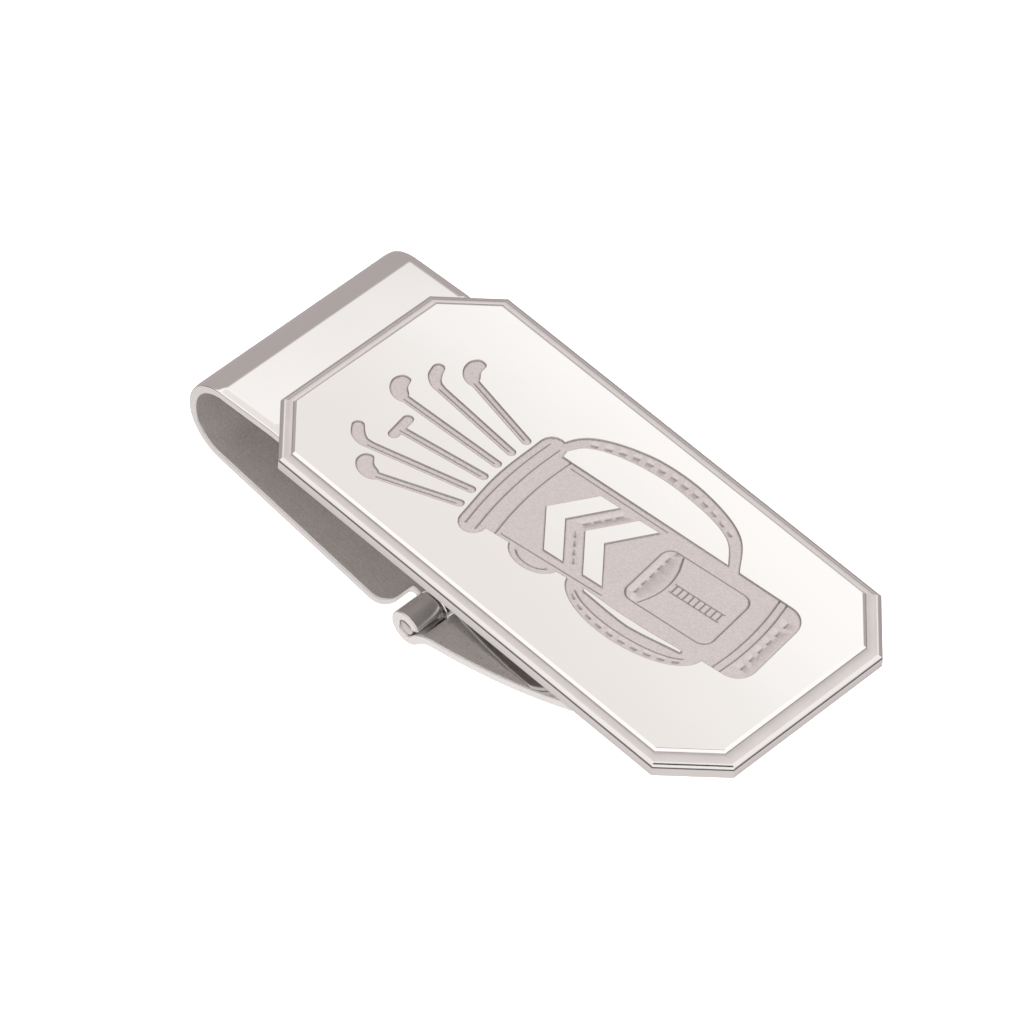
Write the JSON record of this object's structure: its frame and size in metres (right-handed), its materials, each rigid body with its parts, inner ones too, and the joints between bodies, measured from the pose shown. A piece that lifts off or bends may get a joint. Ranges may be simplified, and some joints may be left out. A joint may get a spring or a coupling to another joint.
{
  "type": "hinged money clip",
  "caption": "Polished metal money clip with an octagonal front plate on a looped band and a spring-loaded hinged lever behind it.",
  "frame": {"origin": "centre of the front plate, level with the top face of its raised panel", "axes": "+X along the clip, away from its loop; +Y across the clip; +Z straight out of the front"},
  "size_m": [0.0592, 0.0254, 0.0136],
  "materials": {
    "front_plate": "mirror polished, with a satin picture cut into it",
    "clip_band": "polished outside, finely brushed inside the loop",
    "lever": "polished",
    "hinge_pin": "turned wire, polished ends",
    "leaf_spring": "rolled spring steel, polished edges",
    "spring_rivet_right": "polished",
    "spring_rivet_left": "polished"
  },
  "bodies": {
    "clip": {"front_plate": "front_plate", "clip_band": "clip_band", "hinge_pin": "hinge_pin"},
    "jaw": {"lever": "lever", "leaf_spring": "leaf_spring", "spring_rivet_right": "spring_rivet_right", "spring_rivet_left": "spring_rivet_left"}
  },
  "joints": [
    {"name": "lever_hinge", "type": "hinge", "parent": "clip", "child": "jaw", "pos_m": [-0.0084, 0.0005, -0.01205], "axis": [0, 1, 0], "range_deg": [0, 100], "stiffness_Nm_per_rad": 0.03, "springref_deg": -34.38}
  ]
}
